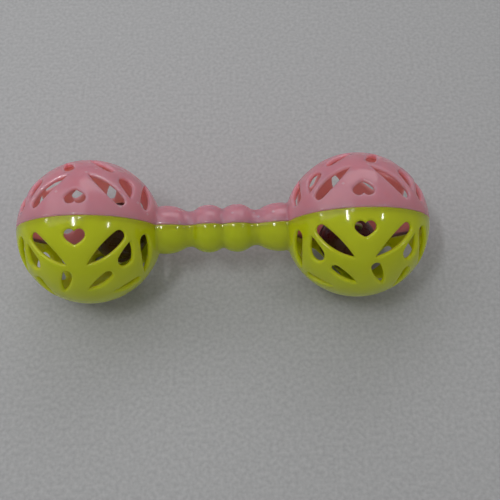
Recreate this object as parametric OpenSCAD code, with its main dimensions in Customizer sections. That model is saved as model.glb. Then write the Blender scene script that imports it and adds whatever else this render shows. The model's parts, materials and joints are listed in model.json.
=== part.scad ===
// Baby rattle: two openwork balls joined by a wavy hollow handle, moulded as two half shells,
// with a jingle bell loose inside each ball.
// The rattle lies on its two balls on the floor, Z = 0. Its long axis runs along X, and the
// origin is on the floor, midway between the balls.

/* [Balls] */
// Outside diameter of each openwork ball
ball_d = 52; // [48:1:56]
// Distance between the centres of the two balls
ball_spacing = 96; // [94:1:104]
// Wall thickness of the two half shells
wall = 1.8; // [1.6:0.1:2.2]
// Turn about the long axis as the rattle lies, 90 puts the seam upright
lie_angle = 74; // [0:1:90]

/* [Handle] */
// Radius of the handle at the crest of each inner lobe
inner_lobe_r = 8.7; // [8.4:0.1:9.4]
// Distance of each inner lobe from the middle of the handle
inner_lobe_x = 5.1; // [4.8:0.1:5.6]
// Radius of each inner lobe's arc along the handle
inner_lobe_arc = 7.5; // [7:0.1:7.8]
// Radius of the handle at the crest of each outer lobe
outer_lobe_r = 8.8; // [8.4:0.1:9.4]
// Distance of each outer lobe from the middle of the handle
outer_lobe_x = 20.5; // [19:0.1:21]
// Radius of each outer lobe's arc along the handle
outer_lobe_arc = 13; // [12:0.5:14]
// Radius of the groove at the middle of the handle
middle_groove_arc = 1.9; // [1.5:0.1:2.5]
// Radius of the groove between an inner and an outer lobe
side_groove_arc = 4; // [3:0.1:5]

/* [Seam] */
// Height of the lower shell's rim above the middle plane
rim_rise = 0.1; // [0.1:0.1:0.8]
// How far the upper shell's tongue reaches down inside the lower shell's rim
tongue_h = 1.2; // [1:0.1:2.2]
// Distance from the outside surface in to the tongue
tongue_inset = 1; // [0.9:0.1:1.2]
// Gap between the tongue and its groove
tongue_gap = 0.1; // [0.05:0.05:0.2]
// Diameter of the two locating pegs inside the handle
peg_d = 2.4; // [2:0.1:3]
// Gap round each peg in its socket
peg_gap = 0.1; // [0.05:0.05:0.2]
// Diameter of the bosses that carry the pegs and sockets
boss_d = 5; // [4.6:0.1:5.6]
// Length of each peg that stands in its socket
peg_engagement = 2.5; // [2:0.1:4]

/* [Openings] */
// Length of each half of a heart, from its point to its round end
heart_l = 6.2; // [5:0.1:6.5]
// Width of each half of a heart
heart_w = 4.4; // [4:0.1:4.8]
// Lean of each half of a heart from its middle line
heart_lean = 24; // [20:1:28]
// Latitude of the middle of each heart, from the seam towards the pole
heart_lat = 15.5; // [14:0.5:19]
// Width of the long leaves
leaf_w = 4.6; // [4:0.1:5]
// Latitudes of the round end and of the tip of each long leaf
leaf_lat = [10.5, 37.5]; // [8:0.5:42]
// Angle from the heart's meridian to the round end of its leaves
leaf_spread = 38; // [36:0.5:39]
// The same angle for the pair of leaves round the handle
handle_leaf_spread = 33; // [30:0.5:38]
// Angle from the heart's meridian to the tip of its leaves
leaf_tip = 10; // [9:0.5:12]
// Width of the droplets between the leaves
droplet_w = 5.8; // [5:0.1:6]
// Latitudes of the round end and of the tip of each droplet
droplet_lat = [37.5, 17]; // [15:0.5:41]
// Width of the slanted teardrops round the pole
teardrop_w = 3.7; // [3:0.1:4]
// Latitudes of the round end and of the tip of each teardrop
teardrop_lat = [43, 62.5]; // [42:0.5:68]
// Angles of the round end and of the tip of the first teardrop
teardrop_az = [-35, -11]; // [-40:1:0]
// Number of teardrops round each pole
teardrops = 8; // [6:1:8]

/* [Bells] */
// Outside diameter of each jingle bell
bell_d = 21; // [19:0.5:22]
// Sheet thickness of each bell
bell_wall = 0.5; // [0.4:0.05:0.6]
// Radius of the crimped bead round each bell
bead_r = 0.75; // [0.7:0.05:0.9]
// Width of the crossed slots in the lower cup
slot_w = 1.7; // [1.4:0.1:2]
// Diameter of the round hole at each end of a slot
slot_hole_d = 3.4; // [3:0.1:3.8]
// Angle from the bottom of the bell to the slots' end holes
slot_reach = 50; // [45:1:55]
// Wire diameter of the hanging loop
wire_d = 1.2; // [1:0.1:1.4]
// Radius of the hanging loop, to the middle of its wire
loop_r = 2.2; // [2:0.1:2.6]
// Diameter of the steel pellet inside each bell
pellet_d = 6; // [5:0.5:6.5]
// Gap between a loose piece and the wall that it rolls on
roll_gap = 0.35; // [0.3:0.05:0.6]
// Lean of the left bell from the lowest point of its ball, towards the handle
left_bell_lean = 42; // [0:1:45]
// Turn of the left bell about the long axis, backwards from the lowest point
left_bell_turn = 26; // [-40:1:40]
// Lean of the right bell from the lowest point of its ball, towards the handle
right_bell_lean = 7; // [0:1:45]
// Turn of the right bell about the long axis, backwards from the lowest point
right_bell_turn = 0; // [-40:1:40]

/* [Hidden] */
$fn = 96;
pink = "#f39cae";
lime = "#b7cf2c";
plum = "#43203a";
steel = "#9a9a9e";

ball_r = ball_d / 2;
ball_x = ball_spacing / 2;
bell_r = bell_d / 2;
wire_r = wire_d / 2;
// Distance from the centre of a ball to the centre of the bell that rolls in it
bell_orbit = ball_r - wall - bell_r - roll_gap;
// Distance from the centre of a bell to the centre of its pellet
pellet_orbit = bell_r - bell_wall - pellet_d / 2 - roll_gap;
// Reach of the tools that cut through the whole rattle
far = 2 * ball_spacing;
// Depth of the tools that pierce a wall, from inside the curve of the wall to outside it
pierce_in = 3.5 * wall;
pierce_out = wall;
// Radius of a teardrop's side arcs, in lengths of the teardrop
side_arc_ratio = 1.6;
// Steps along each side arc and round the end of a teardrop
side_steps = 5;
end_steps = 10;
// Half of the flat between the two round ends of a heart
heart_notch = 0.1;
// Angle from one heart's meridian to the next
quarter_turn = 90;

// Centres of the arcs of the outline, as [distance from the long axis, distance along it]
inner_lobe = [inner_lobe_r - inner_lobe_arc, inner_lobe_x];
outer_lobe = [outer_lobe_r - outer_lobe_arc, outer_lobe_x];
ball_centre = [0, ball_x];

// Centre of the fillet of radius f that lies outside circle a and circle b, with b further along
function fillet_centre(ca, ra, cb, rb, f) =
    let (d = norm(cb - ca))
    let (u = (cb - ca) / d)
    let (along = (pow(ra + f, 2) - pow(rb + f, 2) + d * d) / (2 * d))
    let (out = sqrt(pow(ra + f, 2) - along * along))
    ca + along * u + out * [u[1], -u[0]];

// The material that a fillet leaves between two arcs of the outline
module blend(ca, ra, cb, rb, f, inset) {
    centre = fillet_centre(ca, ra, cb, rb, f);
    difference() {
        polygon([ca, centre, cb]);
        translate(centre) circle(r = f + inset);
    }
}

// Half of the rattle's outline from the middle of the handle to the end of one ball
module half_outline(inset) {
    translate(inner_lobe) circle(r = inner_lobe_arc - inset);
    translate(outer_lobe) circle(r = outer_lobe_arc - inset);
    translate(ball_centre) circle(r = ball_r - inset);
    blend(inner_lobe, inner_lobe_arc, outer_lobe, outer_lobe_arc, side_groove_arc, inset);
}

// The whole rattle as a solid of revolution about X, with its surface moved in by inset
module rattle_solid(inset) {
    mirrored_lobe = [inner_lobe[0], -inner_lobe[1]];
    rotate([0, 90, 0]) rotate_extrude() intersection() {
        translate([0, -far / 2]) square([ball_d, far]);
        union() {
            half_outline(inset);
            mirror([0, 1]) half_outline(inset);
            blend(mirrored_lobe, inner_lobe_arc, inner_lobe, inner_lobe_arc,
                middle_groove_arc, inset);
        }
    }
}

// Everything under the seam, raised by lift
module below_seam(lift) {
    translate([-far / 2, -far / 2, -far]) cube([far, far, far + rim_rise + lift]);
}

// Unit vector from the centre of a ball, with azimuth from the front and latitude from the seam
function on_ball(az, lat) = [cos(lat) * sin(az), -cos(lat) * cos(az), sin(lat)];

// Puts a flat shape on the ball at an azimuth and a latitude, and extrudes it through the wall
module pierce(az, lat, turn) {
    rotate([90 - lat, 0, az]) translate([0, 0, ball_r - pierce_in])
        linear_extrude(pierce_in + pierce_out) rotate(turn) children();
}

// Points round a teardrop along +X with its tip at the origin and its round end at -X.
// Its sides are arcs that touch the round end and meet at the tip
function teardrop_points(length, width) =
    let (end_r = width / 2)
    let (reach = length - end_r)
    let (side_r = side_arc_ratio * length)
    let (side_x = (reach * reach - 2 * end_r * side_r + end_r * end_r) / (2 * reach))
    let (side_y = sqrt(pow(side_r - end_r, 2) - side_x * side_x))
    let (touch = atan2(side_y, -side_x))
    let (tip = atan2(side_y, reach - side_x))
    let (side = [for (i = [1:side_steps - 1]) let (a = tip + (touch - tip) * i / side_steps)
        [side_x - reach + side_r * cos(a), side_r * sin(a) - side_y]])
    let (end = [for (i = [0:end_steps]) let (a = touch + (360 - 2 * touch) * i / end_steps)
        [end_r * cos(a) - reach, end_r * sin(a)]])
    concat([[0, 0]], side, end, [for (i = [1:side_steps - 1]) flip(side[side_steps - 1 - i])]);

function flip(p) = [p[0], -p[1]];

// Points round a heart with its point at the origin and its round ends towards -Y:
// the outer side of a leaning teardrop, and the same mirrored
function heart_points() =
    let (turn = 90 + heart_lean)
    let (lobe = [for (p = teardrop_points(heart_l, heart_w))
        [p[0] * cos(turn) - p[1] * sin(turn), p[0] * sin(turn) + p[1] * cos(turn)]])
    let (right = [for (p = lobe) if (p[0] > heart_notch) p])
    concat([[0, 0]], [for (i = [1:len(right)]) right[len(right) - i]],
        [for (p = right) [-p[0], p[1]]]);

// Teardrop opening from its round end to its tip, each given as azimuth and latitude
module teardrop_opening(round_az, round_lat, tip_az, tip_lat, width) {
    from = on_ball(round_az, round_lat);
    to = on_ball(tip_az, tip_lat);
    middle = (from + to) / norm(from + to);
    az = atan2(middle[0], -middle[1]);
    lat = asin(middle[2]);
    east = [cos(az), sin(az), 0];
    north = cross(middle, east);
    turn = atan2((to - from) * north, (to - from) * east);
    length = ball_r * norm(to - from);
    pierce(az, lat, turn) translate([length / 2, 0]) polygon(teardrop_points(length, width));
}

// Heart opening with its round ends towards the seam and its point towards the pole
module heart_opening(az) {
    pierce(az, heart_lat, 0) translate([0, heart_l / 2]) polygon(heart_points());
}

// All openings of one half ball whose pole is +Z and whose handle is at -X
module half_ball_openings() {
    for (quarter = [0:3]) {
        meridian = quarter_turn * quarter;
        between = meridian + quarter_turn / 2;
        at_handle = quarter == 3;
        spread = at_handle ? handle_leaf_spread : leaf_spread;
        if (!at_handle) heart_opening(meridian);
        for (side = [-1, 1]) teardrop_opening(meridian + side * spread, leaf_lat[0],
            meridian + side * leaf_tip, leaf_lat[1], leaf_w);
        teardrop_opening(between, droplet_lat[0], between, droplet_lat[1], droplet_w);
    }
    for (i = [0:teardrops - 1]) teardrop_opening(teardrop_az[0] + i * 360 / teardrops,
        teardrop_lat[0], teardrop_az[1] + i * 360 / teardrops, teardrop_lat[1], teardrop_w);
}

// Openings of one half shell: the left ball is the mirror image of the right one
module half_shell_openings() {
    for (side = [0, 1]) mirror([side, 0, 0]) translate([ball_x, 0, 0]) half_ball_openings();
}

// Turns the shells from their own frame, with the seam level, to the way the rattle lies
module lying() {
    translate([0, 0, ball_r]) rotate([-lie_angle, 0, 0]) children();
}

// Two upright solids in the inner lobes of the handle
module at_pegs() {
    for (side = [-1, 1]) translate([side * inner_lobe_x, 0, 0]) children();
}

// Upper half shell before its openings are cut, with the tongue along its rim
module upper_half() {
    difference() {
        union() {
            difference() {
                rattle_solid(0);
                below_seam(0);
            }
            difference() {
                rattle_solid(tongue_inset);
                below_seam(-tongue_h);
            }
        }
        rattle_solid(wall);
    }
}

// Lower half shell before its openings are cut, with the groove for the tongue
module lower_half() {
    difference() {
        intersection() {
            rattle_solid(0);
            below_seam(0);
        }
        rattle_solid(wall);
        difference() {
            rattle_solid(tongue_inset - tongue_gap);
            below_seam(-tongue_h - tongue_gap);
        }
    }
}

// Upper half of both balls and of the handle, with two sockets for the pegs
module upper_shell() {
    color(pink) lying() {
        difference() {
            upper_half();
            half_shell_openings();
        }
        difference() {
            intersection() {
                rattle_solid(wall / 2);
                at_pegs() translate([0, 0, rim_rise + tongue_gap]) cylinder(d = boss_d, h = ball_r);
            }
            at_pegs() cylinder(d = peg_d + 2 * peg_gap, h = peg_engagement + peg_gap);
        }
    }
}

// Lower half of both balls and of the handle, with two pegs that locate the upper half
module lower_shell() {
    color(lime) lying() {
        difference() {
            lower_half();
            mirror([0, 0, 1]) half_shell_openings();
        }
        intersection() {
            rattle_solid(wall / 2);
            at_pegs() translate([0, 0, -ball_r])
                cylinder(d = boss_d, h = ball_r + rim_rise - tongue_gap);
        }
        at_pegs() translate([0, 0, -peg_d]) cylinder(d = peg_d, h = peg_d + peg_engagement);
    }
}

// Places a bell in its ball, with its loop towards the centre of the ball
module bell_place(side, lean, turn) {
    translate([side * ball_x, 0, ball_r]) rotate([turn, 0, 0])
        rotate([0, side * lean, 0]) translate([0, 0, -bell_orbit]) children();
}

// Places a pellet straight below the centre of its bell
module pellet_place(side, lean, turn) {
    translate([side * (ball_x - bell_orbit * sin(lean)), bell_orbit * cos(lean) * sin(turn),
        ball_r - bell_orbit * cos(lean) * cos(turn) - pellet_orbit]) children();
}

// Two holes for the legs of the loop, drilled through the top of a bell
module leg_holes() {
    hole_gap = 0.05;
    for (side = [-1, 1]) translate([side * loop_r, 0, 0])
        cylinder(r = wire_r + hole_gap, h = bell_d);
}

// Upper cup of a bell, which carries the loop
module bell_top() {
    color(plum) difference() {
        sphere(r = bell_r);
        sphere(r = bell_r - bell_wall);
        translate([-bell_d, -bell_d, -2 * bell_d]) cube(2 * bell_d);
        leg_holes();
    }
}

// Lower cup of a bell: crossed slots with round ends, and a bead crimped over the upper cup
module bell_bottom() {
    crimp_gap = 0.03;
    slot_y = bell_r * sin(slot_reach);
    slot_top = bell_r * cos(slot_reach) - slot_w;
    color(plum) difference() {
        union() {
            difference() {
                sphere(r = bell_r);
                translate([-bell_d, -bell_d, 0]) cube(2 * bell_d);
            }
            rotate_extrude() translate([bell_r, 0]) circle(r = bead_r);
        }
        sphere(r = bell_r - bell_wall);
        intersection() {
            sphere(r = bell_r + crimp_gap);
            translate([-bell_d, -bell_d, 0]) cube(2 * bell_d);
        }
        for (turn = [0, 90]) rotate(turn) {
            translate([-slot_w / 2, -slot_y, -bell_d])
                cube([slot_w, 2 * slot_y, bell_d - slot_top]);
            for (side = [-1, 1]) rotate([side * slot_reach, 0, 0])
                translate([0, 0, -1.5 * bell_r]) cylinder(d = slot_hole_d, h = bell_r);
        }
    }
}

// Wire loop whose two legs pass through the upper cup and end in peened heads inside it
module bell_loop() {
    head_r = 1.8 * wire_r;
    head_h = wire_r;
    head_edge = loop_r + head_r;
    head_top = sqrt(pow(bell_r - bell_wall, 2) - head_edge * head_edge);
    leg_top = bell_r + wire_d;
    color(steel) {
        translate([0, 0, leg_top]) rotate([90, 0, 0])
            rotate_extrude(angle = 180) translate([loop_r, 0]) circle(r = wire_r);
        for (side = [-1, 1]) translate([side * loop_r, 0, head_top - head_h]) {
            cylinder(r = wire_r, h = leg_top - head_top + head_h);
            cylinder(r = head_r, h = head_h);
        }
    }
}

// Steel pellet that strikes the inside of its bell
module pellet() {
    color(steel) sphere(d = pellet_d);
}

module left_bell_top() {
    bell_place(-1, left_bell_lean, left_bell_turn) bell_top();
}

module left_bell_bottom() {
    bell_place(-1, left_bell_lean, left_bell_turn) bell_bottom();
}

module left_bell_loop() {
    bell_place(-1, left_bell_lean, left_bell_turn) bell_loop();
}

module left_pellet() {
    pellet_place(-1, left_bell_lean, left_bell_turn) pellet();
}

module right_bell_top() {
    bell_place(1, right_bell_lean, right_bell_turn) bell_top();
}

module right_bell_bottom() {
    bell_place(1, right_bell_lean, right_bell_turn) bell_bottom();
}

module right_bell_loop() {
    bell_place(1, right_bell_lean, right_bell_turn) bell_loop();
}

module right_pellet() {
    pellet_place(1, right_bell_lean, right_bell_turn) pellet();
}

upper_shell();
lower_shell();
left_bell_top();
left_bell_bottom();
left_bell_loop();
left_pellet();
right_bell_top();
right_bell_bottom();
right_bell_loop();
right_pellet();
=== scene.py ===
"""The looks of a baby rattle: two openwork balls, a wavy handle, and a jingle bell in each ball."""

import json
import math

import bpy
import numpy as np
from mathutils import Matrix, Vector


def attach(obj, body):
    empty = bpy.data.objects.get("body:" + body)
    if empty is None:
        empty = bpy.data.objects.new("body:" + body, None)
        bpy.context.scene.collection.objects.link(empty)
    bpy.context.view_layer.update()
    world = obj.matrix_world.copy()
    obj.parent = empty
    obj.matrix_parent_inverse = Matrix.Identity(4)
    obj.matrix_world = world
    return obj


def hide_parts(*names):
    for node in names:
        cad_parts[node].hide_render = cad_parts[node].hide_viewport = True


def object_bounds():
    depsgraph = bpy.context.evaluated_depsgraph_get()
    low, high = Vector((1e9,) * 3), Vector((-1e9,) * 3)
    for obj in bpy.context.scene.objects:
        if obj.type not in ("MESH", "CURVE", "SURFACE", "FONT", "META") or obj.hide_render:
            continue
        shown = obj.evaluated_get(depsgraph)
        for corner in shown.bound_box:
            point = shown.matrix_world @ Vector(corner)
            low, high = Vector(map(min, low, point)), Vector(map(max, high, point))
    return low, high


MM = 0.001
STEP = 1  # coarser skins while trying things
LIE_ANGLE = math.radians(74)  # turn about the long axis as the rattle lies

# The two half shells
WALL = 1.8 * MM
SHELL_STEP = 0.4 * MM * STEP
OPENING_EDGE = 0.88 * MM
OPENING_INSET = 0.3 * MM  # the openings narrow by this much between their rounded edges
TIP_ROUND = 0.35 * MM
SEAM_EDGE = 0.1 * MM
SEAM_GAP = 0.02 * MM
RIM_RISE = 0.1 * MM  # the lower shell's rim, above the middle plane
TONGUE_LENGTH = 1.2 * MM  # the upper shell's tongue, down inside the lower shell's rim
TONGUE_INSET = 1 * MM
TONGUE_GAP = 0.1 * MM

# The handle's arcs: radius at the crest, distance from the middle, radius along the handle
INNER_LOBE = (8.7 * MM, 5.1 * MM, 7.5 * MM)
OUTER_LOBE = (8.8 * MM, 20.5 * MM, 13 * MM)
MIDDLE_GROOVE = 1.9 * MM
SIDE_GROOVE = 4 * MM
ROOT_GROOVE = 1 * MM

# The openings: latitudes from the seam, angles from the nearest heart's meridian
HEART = dict(length=6.2 * MM, width=4.4 * MM, lean=24, lat=15.5)
LEAF = dict(width=4.6 * MM, lat=(10.5, 37.5), spread=38, spread_at_handle=33, tip=10)
DROPLET = dict(width=5.8 * MM, lat=(37.5, 17))
TEARDROP = dict(width=3.7 * MM, lat=(43, 62.5), az=(-35, -11), count=8)
SIDE_ARC = 1.6  # radius of a teardrop's side arcs, in lengths of the teardrop
NEAR_OPENING = 0.78  # cosine of the angle within which an opening's flat shape is looked at

# The bells
BELL_R = 10.5 * MM
BELL_WALL = 0.5 * MM
BELL_STEP = 0.22 * MM * STEP
BEAD_R = 0.75 * MM
SLOT_W = 1.7 * MM
SLOT_HOLE_R = 1.7 * MM
SLOT_REACH = math.radians(50)
WIRE_R = 0.6 * MM
LOOP_R = 2.2 * MM
LEG_DEPTH = 1.5 * MM  # how far the loop's legs reach in from the outside of the top cup

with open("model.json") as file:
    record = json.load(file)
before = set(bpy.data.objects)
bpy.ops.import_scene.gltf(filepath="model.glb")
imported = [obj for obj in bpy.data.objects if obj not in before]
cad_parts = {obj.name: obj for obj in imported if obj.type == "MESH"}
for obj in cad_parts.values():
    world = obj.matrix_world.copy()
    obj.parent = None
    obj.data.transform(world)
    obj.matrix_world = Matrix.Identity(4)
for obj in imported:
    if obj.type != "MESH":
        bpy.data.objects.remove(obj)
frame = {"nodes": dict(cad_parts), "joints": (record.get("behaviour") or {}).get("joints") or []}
cad_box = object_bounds()
joints = {j["name"]: j for j in frame["joints"]}
ball_x = joints["right_bell_roll"]["pos_m"][0]
ball_r = joints["right_bell_roll"]["pos_m"][2]
length = cad_box[1][0] - cad_box[0][0]
# From the shells' own frame, where the seam is level, to the way the rattle lies
lying = Matrix.Translation((0, 0, ball_r)) @ Matrix.Rotation(-LIE_ANGLE, 4, "X")


def unit(v):
    return np.asarray(v, float) / np.linalg.norm(v)


def blunt(a, b, r):
    """Intersection of two distances, with its edge rounded to radius r."""
    corner = np.hypot(np.maximum(a + r, 0), np.maximum(b + r, 0))
    return np.minimum(np.maximum(a, b), -r) + corner


def cross2(a, b):
    return a[..., 0] * b[..., 1] - a[..., 1] * b[..., 0]


# ---- Skins: a mesh on the zero surface of a signed distance


def project(points, distance, step):
    """Moves points along the slope of a distance until they lie on its zero surface."""
    for _ in range(3):
        shift = np.eye(3) * step / 20
        slope = [distance(points + s) - distance(points - s) for s in shift]
        slope = np.stack(slope, 1) * 10 / step
        move = (distance(points) / np.maximum((slope**2).sum(1), 0.2))[:, None] * slope
        points = points - np.clip(move, -step / 2, step / 2)
    return points


def relax(points, quads):
    """Moves each point half the way to the middle of its neighbours."""
    edges = np.concatenate([quads[:, [i, (i + 1) % 4]] for i in range(4)])
    total = np.stack(
        [np.bincount(edges[:, 0], points[edges[:, 1], k], len(points)) for k in range(3)], 1
    )
    total += np.stack(
        [np.bincount(edges[:, 1], points[edges[:, 0], k], len(points)) for k in range(3)], 1
    )
    number = np.bincount(edges.ravel(), minlength=len(points))[:, None]
    return (points + total / number) / 2


def skin(distance, low, high, step):
    """Points and quads of a distance's zero surface inside a box, by surface nets."""
    axes = [np.arange(a, b + step, step) for a, b in zip(low, high)]
    shape = [len(a) for a in axes]
    value = np.stack(
        [distance(np.stack(np.broadcast_arrays(x, *np.meshgrid(*axes[1:], indexing="ij")), -1)
                  .reshape(-1, 3)).reshape(shape[1:]) for x in axes[0]]
    )
    origin = np.array([a[0] for a in axes])
    found = []
    for axis in range(3):
        near = np.moveaxis(value, axis, 0)[:-1]
        far = np.moveaxis(value, axis, 0)[1:]
        place = np.argwhere((near < 0) != (far < 0))
        share = near[tuple(place.T)] / (near[tuple(place.T)] - far[tuple(place.T)])
        outward = near[tuple(place.T)] < 0
        order = [(axis + k) % 3 for k in range(3)]
        rest = [k for k in range(3) if k != axis]
        cell = np.empty_like(place)
        cell[:, axis] = place[:, 0]
        cell[:, rest[0]], cell[:, rest[1]] = place[:, 1], place[:, 2]
        point = origin + cell * step
        point[:, axis] += share * step
        around = []
        for a, b in ((0, 0), (1, 0), (1, 1), (0, 1)):
            c = cell.copy()
            c[:, order[1]] -= a
            c[:, order[2]] -= b
            around.append(np.ravel_multi_index(c.T, shape))
        quad = np.stack(around, 1)
        quad[~outward] = quad[~outward][:, ::-1]
        found.append((quad, point))
    quads = np.concatenate([q for q, _ in found])
    marks = np.concatenate([p for _, p in found])
    _, quads_flat = np.unique(quads, return_inverse=True)
    quads = quads_flat.reshape(-1, 4)
    number = np.bincount(quads.ravel())
    points = np.stack(
        [np.bincount(quads.ravel(), np.repeat(marks[:, k], 4)) / number for k in range(3)], 1
    )
    points = project(points, distance, step)
    for _ in range(2):
        points = project(relax(points, quads), distance, step)
    return points, quads


def piece(name, points, quads, place, body, material, slot, *nodes):
    """A smooth mesh object that stands for CAD nodes and rides on their body."""
    mesh = bpy.data.meshes.new(name)
    mesh.vertices.add(len(points))
    mesh.vertices.foreach_set("co", points.astype(np.float32).ravel())
    mesh.loops.add(quads.size)
    mesh.loops.foreach_set("vertex_index", quads.astype(np.int32).ravel())
    mesh.polygons.add(len(quads))
    mesh.polygons.foreach_set("loop_start", np.arange(0, quads.size, 4, dtype=np.int32))
    mesh.polygons.foreach_set("use_smooth", np.ones(len(quads), bool))
    mesh.update(calc_edges=True)
    mesh.transform(place)
    mesh.materials.append(material)
    obj = bpy.data.objects.new(name, mesh)
    bpy.context.scene.collection.objects.link(obj)
    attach(obj, body)
    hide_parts(*nodes)
    return obj


# ---- The outline of the rattle


def fillet_centre(a, ra, b, rb, f):
    """Centre of the fillet of radius f outside circles a and b, as [along, out]."""
    d = np.linalg.norm(b - a)
    u = (b - a) / d
    along = ((ra + f) ** 2 - (rb + f) ** 2 + d * d) / (2 * d)
    return a + along * u + math.sqrt((ra + f) ** 2 - along**2) * np.array([-u[1], u[0]])


def lobe(crest, along, arc):
    """Centre of a lobe's arc, as [along, out], and the arc's radius."""
    return np.array([along, crest - arc]), arc


inner, outer = lobe(*INNER_LOBE), lobe(*OUTER_LOBE)
mirrored = (inner[0] * [-1, 1], inner[1])
ball = (np.array([ball_x, 0]), ball_r)
arcs = (inner, outer, ball)
grooves = [
    (a[0], b[0], fillet_centre(*a, *b, f), f)
    for a, b, f in (
        (mirrored, inner, MIDDLE_GROOVE),
        (inner, outer, SIDE_GROOVE),
        (outer, ball, ROOT_GROOVE),
    )
]


def outline(along, out):
    """Distance outside the rattle's surface, from the place along its axis and out from it."""
    q = np.stack((along, out), -1)
    d = np.min([np.hypot(*(q - c).T) - r for c, r in arcs], 0)
    for a, b, centre, r in grooves:
        to = q - centre
        between = (cross2(to, a - centre) < 0) & (cross2(to, b - centre) > 0)
        d = np.where(between, np.minimum(d, r - np.hypot(*to.T)), d)
    return d


# ---- The openings of one half ball


def on_ball(az, lat):
    """Direction from a ball's centre: azimuth from the front, latitude from the seam."""
    az, lat = math.radians(az), math.radians(lat)
    return np.array([math.cos(lat) * math.sin(az), -math.cos(lat) * math.cos(az), math.sin(lat)])


def teardrop(u, v, length, width):
    """Distance outside a flat teardrop along u, with its tip at the origin and rounded."""
    length, width = length - 2 * TIP_ROUND, width - 2 * TIP_ROUND
    end = width / 2
    reach = length - end
    side = SIDE_ARC * length
    cx = (reach**2 - 2 * end * side + end**2) / (2 * reach)
    cy = math.sqrt((side - end) ** 2 - cx**2)
    x, y = u + TIP_ROUND + reach, np.abs(v)
    at_end = cx * y + cy * x < 0
    at_tip = (reach - cx) * y + (reach - x) * cy < 0
    flank = np.where(at_tip, np.hypot(x - reach, y), np.hypot(x - cx, y + cy) - side)
    return np.where(at_end, np.hypot(x, y) - end, flank) - TIP_ROUND


def drop_opening(round_end, tip, width):
    """Teardrop opening between two directions from the ball's centre."""
    reach = ball_r * np.linalg.norm(tip - round_end)
    return (
        unit(round_end + tip),
        unit(tip - round_end),
        lambda u, v: teardrop(u - reach / 2, v, reach, width),
    )


def heart_opening(az):
    """Heart opening: two leaning teardrops with their tips together towards the pole."""
    middle = on_ball(az, HEART["lat"])
    turn = math.radians(90 + HEART["lean"])

    def shape(u, v):
        u, v = np.abs(u), v - HEART["length"] / 2
        return teardrop(
            u * math.cos(turn) + v * math.sin(turn),
            v * math.cos(turn) - u * math.sin(turn),
            HEART["length"],
            HEART["width"],
        )

    return middle, unit(on_ball(az + 90, 0)), shape


def half_ball_openings():
    """All openings of a half ball whose pole is +Z and whose handle is at -X."""
    found = []
    for meridian in (0, 90, 180, 270):
        at_handle = meridian == 270
        spread = LEAF["spread_at_handle" if at_handle else "spread"]
        if not at_handle:
            found.append(heart_opening(meridian))
        for side in (-1, 1):
            round_end = on_ball(meridian + side * spread, LEAF["lat"][0])
            tip = on_ball(meridian + side * LEAF["tip"], LEAF["lat"][1])
            found.append(drop_opening(round_end, tip, LEAF["width"]))
        ends = [on_ball(meridian + 45, lat) for lat in DROPLET["lat"]]
        found.append(drop_opening(*ends, DROPLET["width"]))
    for i in range(TEARDROP["count"]):
        turn = 360 * i / TEARDROP["count"]
        ends = [on_ball(a + turn, lat) for a, lat in zip(TEARDROP["az"], TEARDROP["lat"])]
        found.append(drop_opening(*ends, TEARDROP["width"]))
    return found


openings = half_ball_openings()


# ---- The half shells


def half_shell(p, flip):
    """Distance outside a half shell. The lower one (flip -1) is worked out upside down."""
    along = np.abs(p[:, 0])
    outside = outline(along, np.hypot(p[:, 1], p[:, 2]))
    d = np.abs(outside + WALL / 2) - WALL / 2
    near = np.flatnonzero((d < 2 * OPENING_EDGE) & (p[:, 2] > 0) & (along > ball_x - ball_r))
    q = p[near] * [0, 1, 1]
    q[:, 0] = along[near] - ball_x
    hole = np.full(len(near), ball_r)
    for middle, u_axis, shape in openings:
        close = np.flatnonzero(q @ middle > NEAR_OPENING * ball_r)
        u, v = q[close] @ u_axis, q[close] @ np.cross(middle, u_axis)
        hole[close] = np.minimum(hole[close], shape(u, v))
    d[near] = blunt(d[near], -hole - OPENING_INSET, OPENING_EDGE)
    rim = flip * RIM_RISE + SEAM_GAP - p[:, 2]
    if flip > 0:
        rim = np.minimum(rim, np.maximum(outside + TONGUE_INSET, -TONGUE_LENGTH - p[:, 2]))
    else:
        inset, depth = TONGUE_INSET - TONGUE_GAP, TONGUE_LENGTH + TONGUE_GAP
        rim = np.maximum(rim, -np.maximum(outside + inset, p[:, 2] - depth))
    return blunt(d, rim, SEAM_EDGE)


def shell_piece(name, node, flip, material, slot):
    """The skin of one half shell, turned to the way the rattle lies."""
    reach = np.array([length / 2, ball_r, ball_r]) + 2 * SHELL_STEP
    low = reach * [-1, -1, 0] - [0, 0, TONGUE_LENGTH + 2 * SHELL_STEP]
    points, quads = skin(lambda p: half_shell(p, flip), low, reach, SHELL_STEP)
    if flip < 0:
        points, quads = points * [1, 1, -1], quads[:, ::-1]
    return piece(name, points, quads, lying, "rattle", material, slot, node)


# ---- The bells, in a frame with the loop along +Z


def bell_top(p):
    """Upper cup: a plain half ball of thin sheet."""
    radius = np.linalg.norm(p, axis=1)
    d = np.abs(radius - BELL_R + BELL_WALL / 2) - BELL_WALL / 2
    return np.maximum(d, -p[:, 2])


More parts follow.
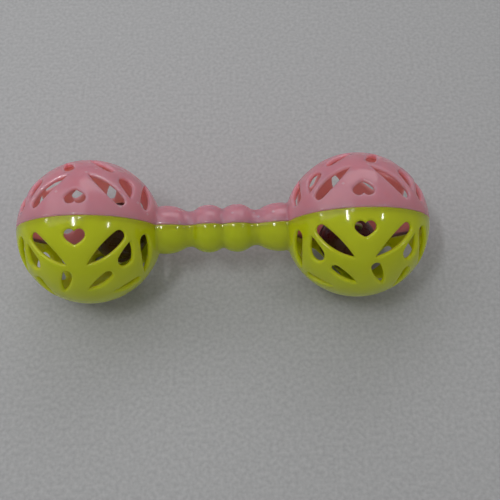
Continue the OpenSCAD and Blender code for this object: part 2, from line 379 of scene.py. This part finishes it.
def bell_bottom(p):
    """Lower cup with crossed slots that end in round holes, and the bead that grips the top."""
    radius = np.linalg.norm(p, axis=1)
    d = np.abs(radius - BELL_R + BELL_WALL / 2) - BELL_WALL / 2
    d = np.maximum(d, p[:, 2])
    bead = np.hypot(np.hypot(p[:, 0], p[:, 1]) - BELL_R, p[:, 2]) - BEAD_R
    bead = np.maximum(bead, BELL_R - BELL_WALL / 2 - radius)
    cut = np.full(len(p), BELL_R)
    for a, b in ((0, 1), (1, 0)):
        across, along = np.abs(p[:, a]), np.abs(p[:, b])
        slot = np.maximum(across - SLOT_W / 2, along - BELL_R * math.sin(SLOT_REACH))
        centre = BELL_R * np.array([math.sin(SLOT_REACH), -math.cos(SLOT_REACH)])
        hole = np.hypot(across, np.hypot(along - centre[0], p[:, 2] - centre[1])) - SLOT_HOLE_R
        cut = np.minimum(cut, np.minimum(slot, hole))
    cut = np.maximum(cut, p[:, 2] + BELL_R / 4)
    return np.minimum(blunt(d, -cut, BELL_WALL / 3), bead)


def bell_loop(p):
    """Bent wire: a half ring on two legs that go through the top cup."""
    top = BELL_R + 2 * WIRE_R
    ring = np.hypot(p[:, 0], np.maximum(p[:, 2] - top, 0))
    d = np.hypot(ring - LOOP_R, p[:, 1]) - WIRE_R
    leg = np.hypot(np.abs(p[:, 0]) - LOOP_R, p[:, 1]) - WIRE_R
    d = np.where(p[:, 2] > top, d, leg)
    return np.maximum(d, BELL_R - LEG_DEPTH - p[:, 2])


def bell_pieces(side):
    """The bell of one ball, whose centre is its pellet's joint."""
    ball_centre = Vector(joints[side + "_bell_roll"]["pos_m"])
    centre = Vector(joints[side + "_pellet_roll"]["pos_m"])
    z_axis = (ball_centre - centre).normalized()
    y_axis = z_axis.cross(Vector((1, 0, 0))).normalized()
    x_axis = y_axis.cross(z_axis)
    place = Matrix.Translation(centre) @ Matrix((x_axis, y_axis, z_axis)).transposed().to_4x4()
    reach = np.full(3, BELL_R + BEAD_R + 2 * BELL_STEP)
    wire_reach = np.array([LOOP_R, 0, BELL_R + LOOP_R + 2 * WIRE_R]) + 2 * WIRE_R
    wire_low = wire_reach * [-1, -1, 0] + [0, 0, BELL_R - 2 * LEG_DEPTH]
    cup_low, cup_high = reach * [-1, -1, 0] - 2 * BELL_STEP, reach * [1, 1, 0] + 2 * BEAD_R
    for part, shape, low, high, step, material, slot in (
        ("top", bell_top, cup_low, reach, BELL_STEP, plum, "bell_paint"),
        ("bottom", bell_bottom, -reach, cup_high, BELL_STEP, plum, "bell_paint"),
        ("loop", bell_loop, wire_low, wire_reach, BELL_STEP / 1.5, wire, "wire"),
    ):
        points, quads = skin(shape, low, high, step)
        name = side + "_bell_" + part
        piece(name + "_skin", points, quads, place, side + "_bell", material, slot, name)


# ---- Materials


def add(tree, kind, **values):
    """A node with its properties and unlinked sockets set by name."""
    node = tree.nodes.new(kind)
    for key, value in values.items():
        if hasattr(node, key):
            setattr(node, key, value)
        else:
            node.inputs[key.replace("_", " ")].default_value = value
    return node


def noise(tree, scale, detail=3):
    """Noise from 0 to 1 that keeps its place on the object."""
    place = add(tree, "ShaderNodeTexCoord")
    node = add(tree, "ShaderNodeTexNoise", Scale=scale, Detail=detail)
    tree.links.new(place.outputs["Object"], node.inputs["Vector"])
    return node.outputs["Fac"]


def spread(tree, source, low, high):
    """Maps the middle of a 0 to 1 value to the range from low to high."""
    node = add(tree, "ShaderNodeMapRange", From_Min=0.3, From_Max=0.7, To_Min=low, To_Max=high)
    tree.links.new(source, node.inputs["Value"])
    return node.outputs["Result"]


def mix(tree, factor, a, b):
    """Colour between a and b, each a colour or a socket."""
    node = add(tree, "ShaderNodeMix", data_type="RGBA")
    tree.links.new(factor, node.inputs["Factor"])
    for socket, colour in ((node.inputs[6], a), (node.inputs[7], b)):
        if isinstance(colour, bpy.types.NodeSocket):
            tree.links.new(colour, socket)
        else:
            socket.default_value = (*colour, 1)
    return node.outputs[2]


def bump(tree, source, strength, distance, normal=None):
    node = add(tree, "ShaderNodeBump", Strength=strength, Distance=distance)
    tree.links.new(source, node.inputs["Height"])
    if normal:
        tree.links.new(normal, node.inputs["Normal"])
    return node.outputs["Normal"]


def surface(name, **values):
    """A new material, its node tree and its shader, with the sockets set by name."""
    material = bpy.data.materials.new(name)
    material.use_nodes = True
    tree = material.node_tree
    shader = tree.nodes["Principled BSDF"]
    for key, value in values.items():
        shader.inputs[key.replace("_", " ")].default_value = value
    return material, tree, shader


def moulded_plastic(name, colour, light, dark, glow):
    """Glossy, faintly translucent plastic with flow marks, a painted highlight along its edges and
    an uneven gloss.

    glow is how far red, green and blue light spread under the surface, each against the others.
    """
    material, tree, shader = surface(name, IOR=1.47, Subsurface_Weight=1, Subsurface_Scale=10 * MM)
    shader.inputs["Subsurface Radius"].default_value = glow
    flow = spread(tree, noise(tree, 90), 0, 1)
    base = mix(tree, flow, colour, dark)
    # Painted highlight: sharp edges, found by pointiness, are mixed towards the light colour as if
    # they caught the lamps.
    edge = add(tree, "ShaderNodeNewGeometry").outputs["Pointiness"]
    rim = add(tree, "ShaderNodeMapRange", From_Min=0.52, From_Max=0.6, To_Min=0, To_Max=0.55)
    tree.links.new(edge, rim.inputs["Value"])
    tree.links.new(mix(tree, rim.outputs["Result"], base, light), shader.inputs["Base Color"])
    tree.links.new(spread(tree, noise(tree, 260), 0.07, 0.13), shader.inputs["Roughness"])
    waves = bump(tree, noise(tree, 140, 1), 0.08, 0.1 * MM)
    grain = bump(tree, noise(tree, 2600), 0.05, 0.02 * MM, waves)
    tree.links.new(grain, shader.inputs["Normal"])
    return material


def enamel(name, colour, dark):
    """Glossy enamel on thin metal: an orange-peel surface with darker patches."""
    material, tree, shader = surface(name, IOR=1.45, Coat_Weight=0.1, Coat_Roughness=0.2)
    tree.links.new(
        mix(tree, spread(tree, noise(tree, 160), 0, 1), colour, dark), shader.inputs["Base Color"]
    )
    tree.links.new(spread(tree, noise(tree, 420), 0.22, 0.36), shader.inputs["Roughness"])
    tree.links.new(bump(tree, noise(tree, 900, 1), 0.2, 0.03 * MM), shader.inputs["Normal"])
    return material


def drawn_steel(name, colour, dark):
    """Plain steel with fine scratches and duller patches."""
    material, tree, shader = surface(name, Metallic=1)
    tree.links.new(
        mix(tree, spread(tree, noise(tree, 500), 0, 1), colour, dark), shader.inputs["Base Color"]
    )
    tree.links.new(spread(tree, noise(tree, 1500), 0.25, 0.45), shader.inputs["Roughness"])
    tree.links.new(bump(tree, noise(tree, 5000), 0.2, 0.02 * MM), shader.inputs["Normal"])
    return material


def board(name, colour, dark):
    """Matt pale board with a mottle and a fine tooth."""
    material, tree, shader = surface(name, Specular_IOR_Level=0.2)
    tree.links.new(
        mix(tree, spread(tree, noise(tree, 700, 2), 0, 1), colour, dark), shader.inputs["Base Color"]
    )
    tree.links.new(spread(tree, noise(tree, 400), 0.7, 0.9), shader.inputs["Roughness"])
    tree.links.new(bump(tree, noise(tree, 900), 0.6, 0.1 * MM), shader.inputs["Normal"])
    return material


# In each plastic, the second colour is the painted edge highlight.
pink = moulded_plastic(
    "pink_plastic", (0.98, 0.225, 0.285), (0.98, 0.38, 0.42), (0.95, 0.2, 0.26), (1.8, 0.95, 0.8)
)
lime = moulded_plastic(
    "lime_plastic", (0.49, 0.6, 0.008), (0.55, 0.67, 0.03), (0.46, 0.56, 0.006), (0.9, 0.9, 0.1)
)
plum = enamel("plum_enamel", (0.07, 0.014, 0.018), (0.045, 0.009, 0.012))
wire = drawn_steel("wire_steel", (0.52, 0.52, 0.54), (0.38, 0.37, 0.38))
shot = drawn_steel("shot_steel", (0.42, 0.41, 0.4), (0.28, 0.27, 0.26))

# ---- The object

shell_piece("upper_shell_skin", "upper_shell", 1, pink, "pink_plastic")
shell_piece("lower_shell_skin", "lower_shell", -1, lime, "lime_plastic")
for side in ("left", "right"):
    bell_pieces(side)
    pellet = frame["nodes"][side + "_pellet"]
    pellet.data.materials.clear()
    pellet.data.materials.append(shot)

# ---- Floor, light and camera

VIEW_AZIMUTH, VIEW_ELEVATION = 1.67, 63  # degrees
VIEW_ROLL = math.radians(-3.04)
VIEW_DISTANCE = 269.3 * MM
FOCAL_LENGTH, FILM_WIDTH = 54.4, 36  # both in the camera's own millimetres
FLOOR_REACH = 12  # in lengths of the rattle

floor_mesh = bpy.data.meshes.new("floor")
half = FLOOR_REACH * length
floor_mesh.from_pydata(
    [(-half, -half, 0), (half, -half, 0), (half, half, 0), (-half, half, 0)], [], [(0, 1, 2, 3)]
)
floor_mesh.materials.append(board("floor_board", (0.455, 0.46, 0.475), (0.375, 0.38, 0.395)))
floor = bpy.data.objects.new("floor", floor_mesh)
bpy.context.scene.collection.objects.link(floor)

world = bpy.data.worlds.new("room")
world.use_nodes = True
sky = world.node_tree.nodes["Background"]
sky.inputs["Color"].default_value = (1, 0.98, 0.93, 1)
sky.inputs["Strength"].default_value = 0.31
bpy.context.scene.world = world


def direction(azimuth, elevation):
    """Unit vector at an azimuth from the front towards +X and an elevation, in degrees."""
    az, el = math.radians(azimuth), math.radians(elevation)
    return Vector((math.cos(el) * math.sin(az), -math.cos(el) * math.cos(az), math.sin(el)))


def lamp(name, azimuth, elevation, distance, width, depth, watts):
    """Rectangular light that faces the object, with its depth from front to back."""
    light = bpy.data.lights.new(name, "AREA")
    light.shape = "RECTANGLE"
    light.size, light.size_y = width, depth
    light.energy = watts
    obj = bpy.data.objects.new(name, light)
    z_axis = direction(azimuth, elevation)
    y_axis = (Vector((0, 1, 0)) - z_axis * z_axis.y).normalized()
    turned = Matrix((y_axis.cross(z_axis), y_axis, z_axis)).transposed().to_4x4()
    obj.matrix_world = Matrix.Translation(z_axis * distance) @ turned
    bpy.context.scene.collection.objects.link(obj)


# Azimuth and elevation in degrees; distance, width and depth in metres; watts
lamp("overhead", -115, 58, 0.4, 0.4, 0.35, 0.38)
lamp("window", 170, 40, 0.7, 0.5, 0.3, 0.77)
lamp("tube_front", -52, 70, 0.9, 0.035, 0.22, 1.3)
lamp("tube_top", -55, 81, 0.9, 0.05, 0.07, 0.15)
lamp("tube_right", 69, 52, 0.9, 0.03, 0.12, 0.35)
lamp("tube_left", -92, 34, 0.9, 0.05, 0.12, 0.15)

aim = Vector((9.6 * MM, -9.1 * MM, ball_r))
towards = direction(VIEW_AZIMUTH, VIEW_ELEVATION)
camera_data = bpy.data.cameras.new("camera")
camera_data.sensor_width = FILM_WIDTH
camera_data.lens = FOCAL_LENGTH
camera_data.clip_start = 10 * MM
camera = bpy.data.objects.new("camera", camera_data)
camera.matrix_world = (
    Matrix.Translation(aim + towards * VIEW_DISTANCE)
    @ towards.to_track_quat("Z", "Y").to_matrix().to_4x4()
    @ Matrix.Rotation(VIEW_ROLL, 4, "Z")
)
bpy.context.scene.collection.objects.link(camera)
bpy.context.scene.camera = camera
bpy.context.scene.view_settings.view_transform = "Standard"
